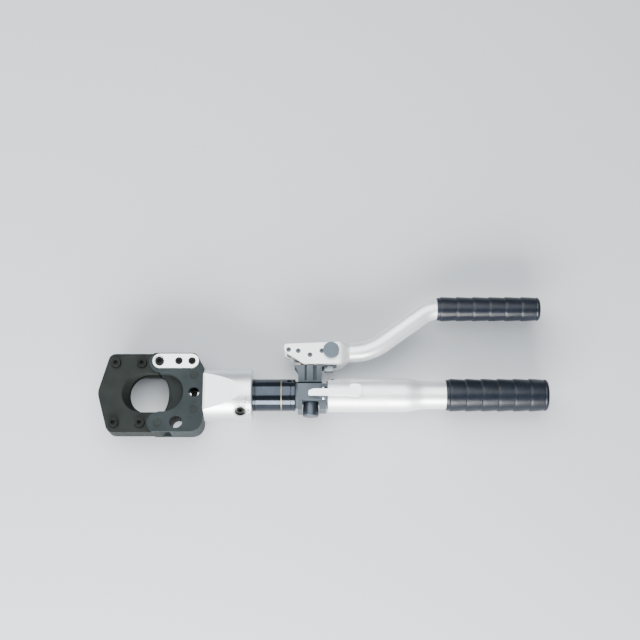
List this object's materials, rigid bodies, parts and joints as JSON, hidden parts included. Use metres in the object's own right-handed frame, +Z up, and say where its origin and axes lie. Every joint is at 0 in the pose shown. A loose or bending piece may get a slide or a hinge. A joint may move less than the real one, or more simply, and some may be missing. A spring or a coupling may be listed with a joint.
{
  "type": "hydraulic cable cutter",
  "caption": "Hand-pumped hydraulic cable cutter: guillotine blade in a head that swings open, swivelling on a barrel, with a reservoir handle and a cranked pumping handle.",
  "frame": {"origin": "centre of the whole tool's box, on the surface it lies on", "axes": "+X along the tool from the cutting head to the grips, +Y towards the pumping handle, +Z up from the surface, square to the head's flat faces"},
  "size_m": [0.626, 0.1985, 0.0735],
  "materials": {
    "phosphated_jaw": "matt olive-grey phosphated steel",
    "phosphated_yoke": "matt grey phosphated steel",
    "ground_steel": "ground steel",
    "blackened_steel": "phosphated and oiled tool steel",
    "nickel": "satin nickel plating",
    "black_steel": "gloss black",
    "dark_fastener": "phosphated fastener",
    "bright_fastener": "zinc-plated fastener",
    "polished_steel": "ground and polished",
    "bronze": "bearing bronze",
    "rubber_black": "moulded black rubber",
    "seal_black": "nitrile rubber",
    "block_grey": "bead-blasted grey casting",
    "cap_black": "semi-gloss black oxide",
    "satin_aluminium": "satin anodised aluminium",
    "cast_aluminium": "bead-blasted aluminium casting",
    "knob_grey": "matt grey",
    "spring_steel": "oiled spring wire"
  },
  "bodies": {
    "pump_body": {"pump_block": "block_grey", "stop_pads": "bronze", "check_balls": "polished_steel", "check_springs": "spring_steel", "outlet_retainer": "bright_fastener", "inlet_seat": "bright_fastener", "relief_cap": "cap_black", "relief_ball": "polished_steel", "relief_spring": "spring_steel", "release_gland": "bright_fastener", "release_lever_pin": "polished_steel", "plunger_bush": "bronze", "plunger_seal": "seal_black", "barrel": "black_steel", "barrel_ring": "bronze", "rod_gland": "bronze", "reservoir_body": "satin_aluminium", "reservoir_grub_screw": "dark_fastener", "oil_bladder": "seal_black", "reservoir_end_plug": "satin_aluminium", "fixed_grip": "rubber_black", "swivel_washer": "bronze"},
    "head": {"yoke_cheek_upper": "phosphated_yoke", "yoke_cheek_lower": "phosphated_yoke", "yoke_rails": "phosphated_yoke", "yoke_dowels": "blackened_steel", "hinge_pin": "blackened_steel", "lock_plate": "nickel", "lock_plate_screws": "dark_fastener", "head_socket": "nickel", "socket_grub_screw": "dark_fastener"},
    "jaw": {"jaw_cheek_upper": "phosphated_jaw", "jaw_cheek_lower": "phosphated_jaw", "jaw_rail_latch_side": "phosphated_jaw", "jaw_rail_hinge_side": "phosphated_jaw", "jaw_end_spacer": "phosphated_jaw", "jaw_screws": "dark_fastener", "jaw_nuts": "dark_fastener"},
    "lock_bolt": {"lock_bolt": "dark_fastener"},
    "blade_ram": {"cutting_blade": "blackened_steel", "blade_screw": "dark_fastener", "piston_rod": "polished_steel", "piston": "ground_steel", "piston_seal": "seal_black", "return_spring": "spring_steel"},
    "handle": {"handle_fork": "cast_aluminium", "handle_tube": "satin_aluminium", "moving_grip": "rubber_black", "fulcrum_pin": "bright_fastener", "fulcrum_washers": "bronze", "drive_pin": "bright_fastener", "spacer_bolts": "bright_fastener"},
    "latch": {"latch_knob": "knob_grey", "latch_hook": "cast_aluminium"},
    "plunger": {"pump_plunger": "polished_steel"},
    "release_lever": {"release_lever": "nickel"},
    "release_stem": {"release_stem": "polished_steel", "release_spring": "spring_steel"}
  },
  "joints": [
    {"name": "head_swivel", "type": "hinge", "parent": "pump_body", "child": "head", "pos_m": [-0.12575, -0.04375, 0.03675], "axis": [1, 0, 0], "continuous": true},
    {"name": "jaw_swing", "type": "hinge", "parent": "head", "child": "jaw", "pos_m": [-0.22825, -0.08675, 0.03675], "axis": [0, 0, 1], "range_deg": [0, 100]},
    {"name": "lock_bolt_turn", "type": "hinge", "parent": "head", "child": "lock_bolt", "pos_m": [-0.22775, -0.00075, 0.03675], "axis": [0, 0, 1], "range_deg": [0, 90]},
    {"name": "blade_slide", "type": "slide", "parent": "head", "child": "blade_ram", "axis": [-1, 0, 0], "range_m": [0, 0.058], "stiffness_N_per_m": 400, "springref_m": -0.02, "deforming": ["return_spring"]},
    {"name": "handle_pump", "type": "hinge", "parent": "pump_body", "child": "handle", "pos_m": [-0.03525, 0.01565, 0.03675], "axis": [0, 0, 1], "range_deg": [0, 40]},
    {"name": "latch_turn", "type": "hinge", "parent": "handle", "child": "latch", "pos_m": [0.01075, 0.01595, 0.03675], "axis": [0, 0, 1], "range_deg": [-8, 0]},
    {"name": "plunger_slide", "type": "slide", "parent": "pump_body", "child": "plunger", "axis": [0, 1, 0], "range_m": [0, 0.0122]},
    {"name": "release_press", "type": "hinge", "parent": "pump_body", "child": "release_lever", "pos_m": [-0.00015, -0.04375, 0.06175], "axis": [0, 1, 0], "range_deg": [0, 5], "stiffness_Nm_per_rad": 1.5, "springref_deg": -1.15},
    {"name": "release_stem_push", "type": "slide", "parent": "pump_body", "child": "release_stem", "axis": [-1, 0, 0], "range_m": [0, 0.00098], "deforming": ["release_spring"]}
  ],
  "couplings": [
    {"joint": "plunger_slide", "follows": "handle_pump", "m_per_rad": 0.01705},
    {"joint": "release_stem_push", "follows": "release_press", "m_per_rad": 0.011}
  ]
}
